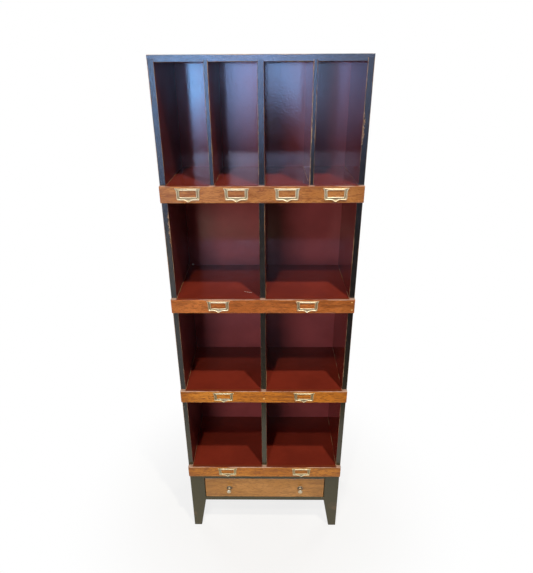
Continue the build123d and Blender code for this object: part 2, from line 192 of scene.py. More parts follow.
def painted(node, along, inside=(), bare=(0.5, 0.5), patch=None, tint=(black_thin, black),
            reds=shaded_wall_burgundy, level=0.03, haze=None, marks=(), dull=(0.12, -0.15), shine=0.5):
    """Brushed black, rubbed through at the front edges; burgundy on the faces that look along `inside`.

    `tint` is the black where the film is thin and where it is thick, `haze` a tint on it and the
    heights where that starts, is full, fades and is gone. The burgundy film has flowed out, so only
    a share `level` of its peel is left; `dull` says for each burgundy face how much rougher than the
    black it is."""
    material, tree, surface = new_material(node + "_paint")
    stroke = [strokes_across, strokes_across, strokes_across]
    stroke[along] = strokes_along
    strokes = noise(tree, stroke, detail=2.0, shift=(0.3, 0, 0))
    cloud = noise(tree, (9, 9, 9))
    height = coordinates(tree)[2]
    thin, thick = tint
    colour = blend(tree, spread(tree, strokes, 0.35, 0.7), thick, thin)
    # Dust and painted floor reflection: the black turns olive below a metre, most of all low down.
    dust_sheen = spread(tree, height, dust_sheen_full, dust_sheen_gone, dust_sheen_share, 0.0)
    colour = blend(tree, dust_sheen, colour, dusty_sheen_black)
    if haze:
        hazy, (start, full, fading, gone) = haze
        above = spread(tree, height, start, full)
        below = spread(tree, height, fading, gone, haze_share, 0.0)
        colour = blend(tree, calc(tree, "MULTIPLY", above, below), colour, hazy)
    inner = None
    for direction in inside:
        looks = facing(tree, direction)
        inner = looks if inner is None else calc(tree, "MAXIMUM", inner, looks)
    point = add(tree, "TexCoord").outputs["Object"]
    cells = add(tree, "TexVoronoi", {"Vector": point, "Scale": chip_cells}).outputs
    lottery = add(tree, "SeparateColor", {0: cells["Color"]}).outputs[0]
    near = spread(tree, cells["Distance"], 0.05, 0.11, 1.0, 0.0)
    chips = calc(tree, "MULTIPLY", near, calc(tree, "GREATER_THAN", lottery, chipless_share))
    chips = calc(tree, "MULTIPLY", chips, spread(tree, cloud, 0.44, 0.60, 0.15, 1.0))
    if inner is not None:
        red = blend(tree, spread(tree, cloud, 0.3, 0.7), *reds)
        colour = blend(tree, inner, colour, red)
        outer = calc(tree, "SUBTRACT", 1.0, inner)
        chips = calc(tree, "MULTIPLY", chips, outer)
    colour = blend(tree, chips, colour, chip_pale)
    rub = front_edges(tree, node, along, bare, patch)
    wood = blend(tree, spread(tree, strokes, 0.35, 0.65), rubbed_wood, rubbed_wood_pale)
    colour = blend(tree, rub, colour, wood)
    for place, radius, mark, share in marks:
        colour = dab(tree, colour, place, radius, mark, share)
    tree.links.new(colour, surface.inputs["Base Color"])
    surface.inputs["Specular IOR Level"].default_value = shine
    rough = spread(tree, cloud, 0.3, 0.7, *black_roughness)
    for direction, more in zip(inside, dull):
        rough = calc(tree, "ADD", rough, calc(tree, "MULTIPLY", facing(tree, direction), more))
    rough = calc(tree, "ADD", rough, calc(tree, "MULTIPLY", rub, rubbed_duller))
    tree.links.new(rough, surface.inputs["Roughness"])
    film = calc(tree, "SUBTRACT", strokes, rub)
    if inner is not None:
        peel = noise(tree, (190, 190, 190), detail=1.0)
        flowed = calc(tree, "MULTIPLY", calc(tree, "MULTIPLY", peel, level), inner)
        film = calc(tree, "ADD", calc(tree, "MULTIPLY", film, outer), flowed)
    relief(tree, surface, film, film_depth)
    dress(node, material)


slate_haze = ((0.044, 0.049, 0.053, 1), (0.45, 0.75, 1.10, 1.50))
# The left side's inner face is darker still: painted shade.
shaded_left_burgundy = ((0.074, 0.009, 0.006, 1), (0.094, 0.012, 0.008, 1))
left_hand = (1, 1.318, 0.075, 0.0055)
left_chip = [((-0.282, 0.118, 1.098), 0.0045, chip_white, 1.0)]
right_hand = (0, 1.612, 0.055, 0.0065)
painted("left_side_panel", 2, [(1, 0, 0)], bare=(0.85, 0.45), patch=left_hand, reds=shaded_left_burgundy,
        haze=slate_haze, marks=left_chip)
painted("right_side_panel", 2, [(-1, 0, 0)], bare=(0.55, 0.6), patch=right_hand, dull=(-0.15,))

# The top board laps the sides with its rebated ends. It is black above and on its edges and
# burgundy underneath, brushed along its length, and shinier than the posts.
painted("top_board", 0, [(0, 0, -1)], bare=(0.5, 0.5), shine=0.72)

# The back is a thin sheet let into rebates of the sides and the top. It is burgundy gloss
# inside, with a little orange peel, and black behind.
# The back's burgundy is pinker and bluer than the shelves': a painted bluish sheen.
sheen_back_burgundy = ((0.205, 0.039, 0.038, 1), (0.253, 0.048, 0.047, 1))
back_chip = [((-0.271, 0.148, 1.088), 0.0055, chip_white, 1.0)]
painted("back_panel", 0, [(0, -1, 0)], bare=(0, 0), reds=sheen_back_burgundy, level=0.5, dull=(-0.15,),
        marks=back_chip)

# The shelves are burgundy boards housed in the sides, with the label rails over their front
# edges. A thin pale bead of filler shows where the floors meet the uprights, and the second
# floor has one long scratch.
shelf_burgundy = ((0.180, 0.023, 0.012, 1), (0.235, 0.030, 0.015, 1))
shelf_shine = 0.4
shelf_roughness = (0.11, 0.17)
shelf_brushed = 0.2
shelf_depth = 0.00010
filler_width = 0.0013


def scratch(tree, colour, start, end, width, tint):
    """A thin straight mark on a level face, from one (x, y) to another, broken by noise."""
    point = coordinates(tree)
    slope = (end[1] - start[1]) / (end[0] - start[0])
    along = calc(tree, "MULTIPLY", calc(tree, "SUBTRACT", point[0], start[0]), slope)
    off = calc(tree, "ABSOLUTE", calc(tree, "SUBTRACT", point[1], calc(tree, "ADD", along, start[1])))
    line = spread(tree, off, width * 0.4, width, 1.0, 0.0)
    half = abs(end[0] - start[0]) / 2
    middle = (start[0] + end[0]) / 2
    reach = calc(tree, "ABSOLUTE", calc(tree, "SUBTRACT", point[0], middle))
    line = calc(tree, "MULTIPLY", line, spread(tree, reach, half * 0.8, half, 1.0, 0.0))
    broken = spread(tree, noise(tree, (200, 200, 200)), 0.36, 0.50)
    return blend(tree, calc(tree, "MULTIPLY", line, broken), colour, tint)


def shelved(node, uprights, scratched=None):
    """Burgundy on both faces of a shelf, with a broken pale line beside each upright."""
    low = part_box(node)[0]
    material, tree, surface = new_material(node + "_paint")
    strokes = noise(tree, (9, 240, 240), detail=3.0)
    cloud = noise(tree, (8, 8, 8), shift=(low.z, 0, 0))
    peel = noise(tree, (120, 120, 120), detail=2.0)
    colour = blend(tree, spread(tree, cloud, 0.3, 0.7), *shelf_burgundy)
    place = calc(tree, "ABSOLUTE", coordinates(tree)[0])
    gap = None
    for x in uprights:
        away = calc(tree, "ABSOLUTE", calc(tree, "SUBTRACT", place, x))
        gap = away if gap is None else calc(tree, "MINIMUM", gap, away)
    broken = spread(tree, noise(tree, (30, 18, 30), shift=(low.z, 0, 0)), 0.36, 0.58, 0.0, filler_width)
    line = spread(tree, calc(tree, "SUBTRACT", broken, gap), -0.0003, 0.0003)
    line = calc(tree, "MULTIPLY", line, facing(tree, (0, 0, 1)))
    colour = blend(tree, line, colour, rubbed_wood_pale)
    if scratched:
        colour = scratch(tree, colour, *scratched, chip_white)
    tree.links.new(colour, surface.inputs["Base Color"])
    surface.inputs["Specular IOR Level"].default_value = shelf_shine
    tree.links.new(spread(tree, cloud, 0.3, 0.7, *shelf_roughness), surface.inputs["Roughness"])
    film = calc(tree, "ADD", calc(tree, "MULTIPLY", strokes, shelf_brushed), peel)
    relief(tree, surface, film, shelf_depth)
    dress(node, material)


side_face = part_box("right_side_panel")[0].x
centre_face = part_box("top_centre_divider")[1].x
quarter_faces = [corner.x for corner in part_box("top_right_divider")]
long_scratch = ((-0.064, -0.083), (-0.036, -0.091), 0.0014)
shelved("top_tier_shelf", [side_face, centre_face] + quarter_faces)
shelved("upper_shelf", [side_face, centre_face], scratched=long_scratch)
shelved("lower_shelf", [side_face, centre_face])
shelved("bottom_board", [side_face, centre_face])

# The dividers are thin boards that stand in grooves of the shelves: three in the top tier and
# one in each of the others. They are burgundy on both sides and black on the front edge,
# which is rubbed unevenly.
both_sides = [(1, 0, 0), (-1, 0, 0)]
painted("top_left_divider", 2, both_sides, bare=(0.55, 0.65))
painted("top_centre_divider", 2, both_sides, bare=(0.65, 0.45))
painted("top_right_divider", 2, both_sides, bare=(1.0, 0.55))
painted("second_tier_divider", 2, both_sides, bare=(0.3, 0.75))
painted("third_tier_divider", 2, both_sides, bare=(0.3, 0.45))
painted("fourth_tier_divider", 2, both_sides, bare=(0.3, 0.3))

# The label rails are stained and varnished hardwood, planted on the shelf edges and screwed
# at the middle under a turned plug. Their top edges are rubbed pale.
rail_rubbed = (0.62, 0.42, 0.31, 1)
rail_rub = 0.0026
top_edge_share = 0.8
low_edge_share = 0.45
foot_share = 0.75
painted_top_share = 0.9
dirty_end = 0.07
dirt_share = 0.5
wood_shine = 0.3
wood_roughness = (0.40, 0.28)
grain_depth = 0.00025


def stained(node, light, middle, dark, rubbed=0, along=0, feet=(), marks=()):
    """Long-grained wood: drawn-out noise for the growth rings, finer noise for flecks and pores.

    Where `rubbed` gives a width, the front is rubbed pale along its top and bottom edges and dirty at
    its ends. A rail also has the shelf's burgundy on top, and is rubbed at the `feet` of the uprights."""
    low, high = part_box(node)
    material, tree, surface = new_material(node + "_wood")
    shift = (low.z * 2.3, low.x * 3.1, low.z * 3.7)

    def drawn(length, width, **settings):
        """Noise drawn out along the grain."""
        scale = [width, width, width]
        scale[along] = length
        return noise(tree, scale, shift=shift, **settings)

    rings = drawn(9, 75, detail=6.0, roughness=0.75)
    flecks = drawn(70, 280, detail=3.0, roughness=0.6)
    pores = drawn(70, 420, detail=3.0)
    cloud = drawn(6, 11)
    colour = blend(tree, spread(tree, cloud, 0.40, 0.62), middle, light)
    colour = blend(tree, spread(tree, rings, 0.36, 0.52, 0.75, 0.0), colour, dark)
    colour = blend(tree, spread(tree, flecks, 0.54, 0.66, 0.0, 0.65), colour, dark)
    colour = blend(tree, spread(tree, pores, 0.52, 0.66, 0.0, 0.75), colour, dark)
    if rubbed:
        point = coordinates(tree)
        behind = calc(tree, "SUBTRACT", point[1], low.y)
        edge = calc(tree, "MAXIMUM", behind, calc(tree, "SUBTRACT", high.z, point[2]))
        low_edge = calc(tree, "MAXIMUM", behind, calc(tree, "SUBTRACT", point[2], low.z))
        wander = noise(tree, (14, 60, 60), shift=shift)
        width = spread(tree, wander, 0.36, 0.70, 0.0002, rubbed)
        rub = spread(tree, calc(tree, "SUBTRACT", width, edge), -0.0004, 0.0006, 0.0, top_edge_share)
        left = calc(tree, "SUBTRACT", width, low_edge)
        low_rub = spread(tree, left, 0.0, 0.0012, 0.0, low_edge_share)
        top = facing(tree, (0, 0, 1))
        if feet:
            colour = blend(tree, calc(tree, "MULTIPLY", top, painted_top_share), colour, shelf_burgundy[0])
        end = calc(tree, "SUBTRACT", high.x, calc(tree, "ABSOLUTE", point[0]))
        dirt = spread(tree, end, 0.0, dirty_end, dirt_share, 0.0)
        dirt = calc(tree, "MULTIPLY", dirt, spread(tree, wander, 0.3, 0.6))
        colour = blend(tree, dirt, colour, dark)
        colour = blend(tree, calc(tree, "MAXIMUM", rub, low_rub), colour, rail_rubbed)
        for foot in feet:
            off = calc(tree, "ABSOLUTE", calc(tree, "SUBTRACT", point[0], foot))
            pale = calc(tree, "MULTIPLY", spread(tree, off, 0.006, 0.011, foot_share, 0.0), top)
            colour = blend(tree, pale, colour, rail_rubbed)
    for place, radius, tint, share in marks:
        colour = dab(tree, colour, place, radius, tint, share)
    tree.links.new(colour, surface.inputs["Base Color"])
    surface.inputs["Specular IOR Level"].default_value = wood_shine
    tree.links.new(spread(tree, rings, 0.3, 0.7, *wood_roughness), surface.inputs["Roughness"])
    height = calc(tree, "SUBTRACT", calc(tree, "MULTIPLY", rings, 0.5), calc(tree, "MULTIPLY", flecks, 0.6))
    relief(tree, surface, height, grain_depth)
    dress(node, material)


stain_dark = (0.20, 0.055, 0.008, 1)
rail_stains = [
    [(0.52, 0.218, 0.053, 1), (0.41, 0.151, 0.030, 1)],
    [(0.56, 0.178, 0.040, 1), (0.46, 0.130, 0.025, 1)],
    [(0.68, 0.252, 0.029, 1), (0.60, 0.200, 0.018, 1)],
    [(0.56, 0.210, 0.022, 1), (0.48, 0.162, 0.013, 1)],
]
yellow_mark = (0.85, 0.58, 0.22, 1)
rail_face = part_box("label_rail_1")[0].y
plug_ring = [((0.0, rail_face, 1.446), 0.0076, stain_dark, 1.0)]
plug_smear = [((x, rail_face, 1.430), 0.011, stain_dark, 0.35) for x in (-0.040, -0.026, -0.012)]
end_nails = [((0.290, rail_face, 1.076), 0.0030, yellow_mark, 0.8),
             ((0.292, rail_face, 1.048), 0.0030, yellow_mark, 0.8)]
middle_spot = [((0.001, rail_face, 0.684), 0.0045, yellow_mark, 0.7)]
rail_marks = [plug_ring + plug_smear, end_nails, middle_spot, []]
side_middle = (side_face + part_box("right_side_panel")[1].x) / 2
quarter_middle = sum(quarter_faces) / 2
for number, ((light, middle), marks) in enumerate(zip(rail_stains, rail_marks), start=1):
    feet = [-side_middle, 0.0, side_middle]
    if number == 1:
        feet += [-quarter_middle, quarter_middle]
    stained("label_rail_%d" % number, light, middle, stain_dark, rail_rub, feet=feet, marks=marks)
plug_light = (0.52, 0.19, 0.05, 1)
plug_middle = (0.44, 0.15, 0.03, 1)
stained("rail_plugs", plug_light, plug_middle, stain_dark)

# The card frames are pressed brass, pale with age and brown in the hollows, pinned to the
# rails. A bead runs round the window and another round the eared outline, and a finger tongue
# hangs below. The window's edge is darkened as a painted shadow line, and the frames on the
# lower two rails get a darker copy of the brass as painted shade.
mm = 0.001
frame_count = 10
bright_frames = 6
ear_half = 38.3
ear_slant = 0.3
ear_thick = 1.8
top_dip = 0.9
body_half = 34.3
hollow_reach = 3.7
hollow_drop = 10.5
corner_radius = 4.0
corner_inset = 0.5
frame_height = 35.6
tongue_half = 15.0
tongue_drop = 5.9
tongue_lift = 2.4
tongue_spread = 9.5
tongue_start = -33.0
tongue_run = 8.0
window_half = np.array([24.3, 9.8])
window_middle = np.array([0.0, -16.8])
window_corner = 1.2
bead_wide, bead_foot, bead_rise = 3.0, 1.5, 1.5
rim_wide, rim_foot, rim_rise = 2.8, 1.2, 1.7
cove_depth = 0.55
# window_wall_shade, with the bead's foot beside it, draws a painted shadow line along the window's edge.
window_wall_shade, hollow_dark, edge_dark, tongue_dark = 0.4, 0.9, 0.5, 0.16
metal_roughness = (0.34, 0.44)
tarnish_duller = 0.2
metal_depth = 0.00006


def make_piece(name, points, faces, material, body, replaced):
    """A finished mesh piece that rides on a body and stands for CAD nodes."""
    mesh = bpy.data.meshes.new(name)
    mesh.from_pydata(points.tolist(), [], faces)
    mesh.polygons.foreach_set("use_smooth", np.ones(len(mesh.polygons), dtype=bool))
    mesh.materials.append(material)
    mesh.update()
    obj = bpy.data.objects.new(name, mesh)
    bpy.context.scene.collection.objects.link(obj)
    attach(obj, body)
    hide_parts(*replaced)
    return obj


def grid_faces(rows, columns, rows_close):
    """Four-sided faces over a grid whose columns close on themselves, and its rows where asked."""
    r = np.arange(rows if rows_close else rows - 1)[:, None]
    c = np.arange(columns)[None, :]
    below = (r + 1) % rows
    beside = (c + 1) % columns
    corners = [r * columns + c, below * columns + c, below * columns + beside, r * columns + beside]
    shape = np.broadcast(r, c).shape
    return np.stack([np.broadcast_to(k, shape) for k in corners], -1).reshape(-1, 4).tolist()


def frame_outline(count):
    """The outer line of a frame, clockwise from the top middle, evenly spaced.

    Right half: a top edge that lifts to the ear as an eighth power, a hollow under it that falls as
    a power curve to the side, a quarter-round corner, the base, and a tongue whose drop is
    t*t*(1.5 - 0.5 t). The left half mirrors it."""
    t = np.linspace(0, 1, 40)
    top = np.stack([ear_half * t, -top_dip * (1 - t ** 8)], 1)
    ear = np.stack([ear_half - ear_slant * t, -ear_thick * t], 1)
    hollow = np.stack([body_half + hollow_reach * (1 - t) ** 2.2, -ear_thick - hollow_drop * t], 1)
    turn = t * math.pi / 2
    centre = np.array([body_half - corner_inset - corner_radius, corner_radius - frame_height])
    corner = centre + corner_radius * np.stack([np.cos(turn), -np.sin(turn)], 1)
    drop = tongue_drop * t * t * (1.5 - 0.5 * t)
    tongue = np.stack([tongue_half * (1 - t), -frame_height - drop], 1)
    right = np.concatenate([top, ear[1:], hollow[1:], corner, tongue])
    left = right[::-1] * [-1, 1]
    loop = np.concatenate([right, left[1:]])
    walked = np.concatenate([[0], np.cumsum(np.hypot(*np.diff(loop, axis=0).T))])
    stops = np.linspace(0, walked[-1], count, endpoint=False)
    return np.stack([np.interp(stops, walked, loop[:, k]) for k in (0, 1)], 1)


def frame_surface(count=200):
    """The moulding between window and outline: (across, up, forward) in millimetres, and a hollow share.

    Each outline point is joined to the nearest point of the round-cornered window. Along that line
    stand a half-round bead, a cove that sinks as a sine, and a half-round rim; the tongue lifts as a
    bell across and a smooth step down. A wall and a flat back close the ring."""
    outer = frame_outline(count)
    reach = window_half - window_corner
    nearest = np.clip(outer - window_middle, -reach, reach)
    away = outer - window_middle - nearest
    away /= np.linalg.norm(away, axis=1, keepdims=True)
    inner = window_middle + nearest + window_corner * away
    length = np.linalg.norm(outer - inner, axis=1)[:, None]
    a = np.linspace(0, 1, 9)
    b = np.linspace(0, 1, 6)[1:-1]
    ones = np.ones((count, 1))
    cove_steps = bead_wide + b * (length - bead_wide - rim_wide)
    rim_steps = length - rim_wide * (1 - a)
    steps = np.concatenate([ones * 0, ones * bead_wide * a, cove_steps, rim_steps, length], 1)
    arch = np.sqrt(np.clip(1 - (2 * a - 1) ** 2, 0, 1))
    sink = np.sin(math.pi * b)
    foot = (1 - arch) ** 2
    rise = np.concatenate([
        [0], bead_foot + bead_rise * arch, bead_foot - cove_depth * sink, rim_foot + rim_rise * arch, [0],
    ])
    dark = np.concatenate([
        [window_wall_shade], hollow_dark * foot, hollow_dark * sink ** 2, hollow_dark * (1 - a) * foot, [edge_dark],
    ])
    share = (steps / length)[..., None]
    flat = inner[:, None] * (1 - share) + outer[:, None] * share
    down = np.clip((tongue_start - flat[..., 1]) / tongue_run, 0, 1)
    bell = np.exp(-(flat[..., 0] / tongue_spread) ** 2)
    lift = tongue_lift * bell * down * down * (3 - 2 * down)
    forward = rise[None, :] + lift * (rise[None, :] > 0)
    hollow = np.clip(np.broadcast_to(dark, forward.shape) + tongue_dark * lift, 0, 1)
    return np.concatenate([flat, forward[..., None]], 2), hollow


def aged_metal(name, clean, brown, hollows):
    """Bare metal with tarnish in clouds and, where `hollows` says so, brown by each point's share: tarnish
    and painted shade.
    """
    material, tree, surface = new_material(name)
    cloud = noise(tree, (150, 150, 150))
    fine = noise(tree, (900, 900, 900), detail=2.0)
    stain = spread(tree, cloud, 0.50, 0.78, 0.0, 0.55)
    if hollows:
        deep = add(tree, "Attribute", attribute_name="hollow").outputs["Fac"]
        stain = calc(tree, "MAXIMUM", stain, spread(tree, deep, 0.15, 0.85, 0.0, 0.95))
    tree.links.new(blend(tree, stain, clean, brown), surface.inputs["Base Color"])
    surface.inputs["Metallic"].default_value = 1.0
    rough = spread(tree, fine, 0.3, 0.7, *metal_roughness)
    rough = calc(tree, "ADD", rough, calc(tree, "MULTIPLY", stain, tarnish_duller))
    tree.links.new(rough, surface.inputs["Roughness"])
    relief(tree, surface, calc(tree, "ADD", fine, calc(tree, "MULTIPLY", cloud, 2.0)), metal_depth)
    return material


def mark_hollows(obj, values):
    """Keeps each point's share of brown: tarnish in the hollows, and painted shade where it is set."""
    layer = obj.data.attributes.new("hollow", "FLOAT", "POINT")
    layer.data.foreach_set("value", values.astype(np.float32).ravel())


brass_clean = (0.72, 0.60, 0.36, 1)
# The lower frames' brass is a darker copy of the same brass: painted shade.
shaded_brass = (0.55, 0.455, 0.25, 1)
brass_brown = (0.24, 0.155, 0.070, 1)
frame_brass = aged_metal("frame_brass", brass_clean, brass_brown, True)
shaded_frame_brass = aged_metal("shaded_frame_brass", shaded_brass, brass_brown, True)
# hollow holds each point's brown share: tarnish, and the painted shadow line at the window.
moulding, hollow = frame_surface()
frame_faces = grid_faces(*hollow.shape, True)
across, up, out = (moulding[..., k].ravel() * mm for k in range(3))
for number in range(1, frame_count + 1):
    node = "label_frame_%d" % number
    low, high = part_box(node)
    points = np.stack([(low.x + high.x) / 2 + across, high.y - out, high.z + up], 1)
    # The frames on the lower two rails get the painted-shade copy.
    finish = frame_brass if number <= bright_frames else shaded_frame_brass
    piece = make_piece("card_frame_%d" % number, points, frame_faces, finish, "cabinet", [node])
    mark_hollows(piece, hollow)

# Each frame is held by two brass pins, driven through its lower corners into the rail. Only
# their round heads show.
pin_head = 1.55
pin_rise = 1.9
pin_foot = 0.9
pin_turns = 14
pin_rings = 6
pin_close = 0.97
pin_out = 29.5
pin_up = 5.4


def full_turn(turns):
    """The angles of a full turn, clockwise."""
    return -np.arange(turns) * 2 * math.pi / turns


def capped_faces(rings, turns):
    """The faces of a turned shape of so many rings, with a flat face over each end."""
    faces = grid_faces(rings, turns, False)
    last = rings * turns
    faces.append(list(range(turns)))
    faces.append(list(range(last - 1, last - turns - 1, -1)))
    return faces


def pin_surface():
    """A round head: rings whose radius is the cosine and height the sine of a quarter turn."""
    turn = full_turn(pin_turns)
    lift = np.linspace(0, math.pi / 2 * pin_close, pin_rings)[:, None]
    radius = pin_head * np.cos(lift)
    forward = pin_foot + pin_rise * np.sin(lift) + 0 * turn
    return np.stack([radius * np.cos(turn), radius * np.sin(turn), forward], -1).reshape(-1, 3)


dome = pin_surface()
dome_faces = capped_faces(pin_rings, pin_turns)
pin_points, pin_faces = [], []
for number in range(1, frame_count + 1):
    low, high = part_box("label_frame_%d" % number)
    for side in (-1, 1):
        start = len(pin_points) * len(dome)
        across = (low.x + high.x) / 2 + (side * pin_out + dome[:, 0]) * mm
        up = high.z + (pin_up - frame_height + dome[:, 1]) * mm
        pin_points.append(np.stack([across, high.y - dome[:, 2] * mm, up], 1))
        pin_faces += [[corner + start for corner in face] for face in dome_faces]
pin_brass = aged_metal("pin_brass", brass_clean, brass_brown, False)
make_piece("card_frame_pins", np.concatenate(pin_points), pin_faces, pin_brass, "cabinet",
           ["label_frame_pins"])

# The stand is four legs tapered on their inner faces, with drawer rails and aprons tenoned
# between them. All are the same black, tinted olive as a painted reflection of the warm floor,
# duller than the case and browner where feet and brooms have rubbed it.
# Olive blacks: a painted reflection of the warm floor.
stand_black_sheen = ((0.078, 0.066, 0.024, 1), (0.052, 0.046, 0.016, 1))
stand_shine = 0.36
leg_rub = (0.20, 0.105, 0.048, 1)
front_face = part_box("front_left_leg")[0].y
leg_rubs = {
    "front_left": [((-0.297, front_face, 0.070), 0.014, leg_rub, 0.20)],
    "front_right": [((0.291, front_face, 0.104), 0.015, leg_rub, 0.25),
                    ((0.283, front_face, 0.118), 0.026, leg_rub, 0.12)],
}
for leg in ("front_left", "front_right", "back_left", "back_right"):
    painted(leg + "_leg", 2, bare=(0.35, 0.35), tint=stand_black_sheen, marks=leg_rubs.get(leg, []),
            shine=stand_shine)
for rail in ("upper_drawer_rail", "lower_drawer_rail", "back_apron"):
    painted(rail, 0, bare=(0.1, 0.1), tint=stand_black_sheen, shine=stand_shine)
for apron in ("left_side_apron", "right_side_apron"):
    painted(apron, 1, bare=(0, 0), tint=stand_black_sheen, shine=stand_shine)

# Runners, guides, kickers and stops are bare strips glued inside the stand, where they carry
# the drawer and hold it straight. Bare dowels join the legs to the case.
bare_wood = ((0.66, 0.48, 0.30, 1), (0.56, 0.38, 0.22, 1), (0.36, 0.22, 0.11, 1))
for side in ("left", "right"):
    for strip in ("runner", "guide", "kicker"):
        stained("%s_%s" % (side, strip), *bare_wood, along=1)
stained("drawer_stops", *bare_wood)
stained("stand_dowels", *bare_wood, along=2)

# The drawer has a stained and varnished front, bare sides dovetailed into it, a back housed
# between the sides and a thin bottom in grooves.
front_stain = ((0.53, 0.250, 0.068, 1), (0.445, 0.200, 0.046, 1), (0.26, 0.11, 0.026, 1))
front_rub = 0.0012
stained("drawer_front", *front_stain, rubbed=front_rub)
for board in ("left_drawer_side", "right_drawer_side"):
    stained(board, *bare_wood, along=1)
for board in ("drawer_back", "drawer_bottom"):
    stained(board, *bare_wood)

# The knobs are small turned brass, screwed on from inside the drawer. Their faces are bright
# with handling; the foot of the neck and the head's side are brown, partly tarnish and partly
# painted shade.
rose_middle, rose_out, rose_half = 9.5, 1.5, 1.25
neck_foot, neck_taper, neck_waist = 8.2, 0.9, 3.5
neck_start, neck_length = 2.5, 11.5
head_foot, head_swell = 7.3, 1.45
head_start, head_rise = 14.0, 3.0
face_radius, face_start, face_dome = 8.75, 19.2, 3.8
knob_turns = 40
knob_clean = (0.60, 0.51, 0.34, 1)
knob_brown = (0.085, 0.055, 0.03, 1)
# Brown share by height: tarnish in the cove at the neck's foot, with painted shade there and round the
# head.
tarnish_and_shade_heights = [0, 1.2, 2.5, 4, 7, 12, 14, 17, 18.5]
tarnish_and_shade = [0.3, 0.4, 0.7, 0.75, 0.2, 0.1, 0.3, 0.3, 0]


def knob_profile():
    """Radius and height of a knob in millimetres, foot to face.

    The rolled rose is half an ellipse, the neck tapers and narrows as a sine, the head swells as a
    quarter of an ellipse, and its face closes as another."""
    t = np.linspace(0, 1, 9)
    quarter = t * math.pi / 2
    rose_radius = rose_middle + rose_out * np.cos(2 * quarter - math.pi / 2)
    rose = np.stack([rose_radius, rose_half - rose_half * np.cos(2 * quarter)], 1)
    neck_radius = neck_foot - neck_taper * t - neck_waist * np.sin(math.pi * t)
    neck = np.stack([neck_radius, neck_start + neck_length * t], 1)
    head_radius = head_foot + head_swell * np.sin(quarter)
    head = np.stack([head_radius, head_start + head_rise * (1 - np.cos(quarter))], 1)
    closing = quarter[:-1]
    face = np.stack([face_radius * np.cos(closing), face_start + face_dome * np.sin(closing)], 1)
    return np.concatenate([rose, neck, head[1:], face])


profile = knob_profile()
turn = full_turn(knob_turns)
knob_faces = capped_faces(len(profile), knob_turns)
knob_tarnish_and_shade = np.repeat(np.interp(profile[:, 1], tarnish_and_shade_heights, tarnish_and_shade), knob_turns)
knob_brass = aged_metal("knob_brass", knob_clean, knob_brown, True)
for side in ("left", "right"):
    node = side + "_knob"
    low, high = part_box(node)
    across = (low.x + high.x) / 2 + profile[:, :1] * np.cos(turn) * mm
    up = (low.z + high.z) / 2 + profile[:, :1] * np.sin(turn) * mm
    out = high.y - profile[:, 1:] * mm + 0 * turn
    points = np.stack([across, out, up], -1).reshape(-1, 3)
    piece = make_piece("turned_" + node, points, knob_faces, knob_brass, "drawer", [node])
    mark_hollows(piece, knob_tarnish_and_shade)

# The screws are plain steel. Those of the rails lie under the plugs, and those of the knobs
# go through the drawer front.
steel_clean = (0.62, 0.62, 0.62, 1)
steel_dull = (0.26, 0.22, 0.19, 1)
screw_steel = aged_metal("screw_steel", steel_clean, steel_dull, False)
dress("knob_screws", screw_steel)
dress("rail_screws", screw_steel)

# The studio floor is a wide white sheet. It keeps the shadow close to the object and is plain
# white further off.
floor_reach = 30.0
floor_white = (0.88, 0.88, 0.88, 1)
shadow_near = 0.25
shadow_gone = 0.9
shadow_white = 0.78
corners = [(-1, -1), (1, -1), (1, 1), (-1, 1)]
floor_mesh = bpy.data.meshes.new("floor")
floor_mesh.from_pydata([(x * floor_reach, y * floor_reach, 0) for x, y in corners], [], [(0, 1, 2, 3)])
floor = bpy.data.objects.new("floor", floor_mesh)
bpy.context.scene.collection.objects.link(floor)


def seen_rays(tree):
    """1 for rays from the camera, mirrors and glass, 0 for the light that falls on the object."""
    path = add(tree, "LightPath").outputs
    mirrored = calc(tree, "MAXIMUM", path["Is Glossy Ray"], path["Is Transmission Ray"])
    return calc(tree, "MAXIMUM", path["Is Camera Ray"], mirrored)


floor_material, tree, surface = new_material("studio_floor")
surface.inputs["Base Color"].default_value = floor_white
surface.inputs["Roughness"].default_value = 0.9
surface.inputs["Specular IOR Level"].default_value = 0.0
point = add(tree, "TexCoord").outputs["Object"]
away = add(tree, "VectorMath", {0: point}, operation="LENGTH").outputs["Value"]
plain = spread(tree, away, shadow_near, shadow_gone, shadow_white, 1.0)
plain = calc(tree, "MULTIPLY", plain, seen_rays(tree))
white = add(tree, "Emission", {"Color": (1, 1, 1, 1), "Strength": 1.0})
mixed = add(tree, "MixShader", {0: plain, 1: surface.outputs[0], 2: white.outputs[0]})
for node in tree.nodes:
    if node.bl_idname == "ShaderNodeOutputMaterial":
        tree.links.new(mixed.outputs[0], node.inputs["Surface"])
floor_mesh.materials.append(floor_material)

# A buff cloth lies on the floor in front, out of the picture, so that the gloss paint shows a
# quiet floor there. Its right half is brown.
cloth_side = 4.0
cloth_near = -14.0
cloth_far = -0.8
cloth_top = 0.002
buff_dark = (0.42, 0.35, 0.28, 1)
buff_pale = (0.50, 0.43, 0.34, 1)
cloth_brown = (0.16, 0.11, 0.08, 1)
cloth_ends = [(-cloth_side, cloth_near), (cloth_side, cloth_near),
              (cloth_side, cloth_far), (-cloth_side, cloth_far)]
cloth_mesh = bpy.data.meshes.new("floor_cloth")
cloth_mesh.from_pydata([(x, y, cloth_top) for x, y in cloth_ends], [], [(0, 1, 2, 3)])
cloth_material, tree, surface = new_material("buff_cloth")
surface.inputs["Roughness"].default_value = 0.95
surface.inputs["Specular IOR Level"].default_value = 0.0
buff = blend(tree, noise(tree, (300, 300, 300), detail=2.0), buff_dark, buff_pale)
border = spread(tree, coordinates(tree)[0], -0.25, 0.25)
tree.links.new(blend(tree, border, buff, cloth_brown), surface.inputs["Base Color"])
cloth_mesh.materials.append(cloth_material)
cloth = bpy.data.objects.new("floor_cloth", cloth_mesh)
bpy.context.scene.collection.objects.link(cloth)
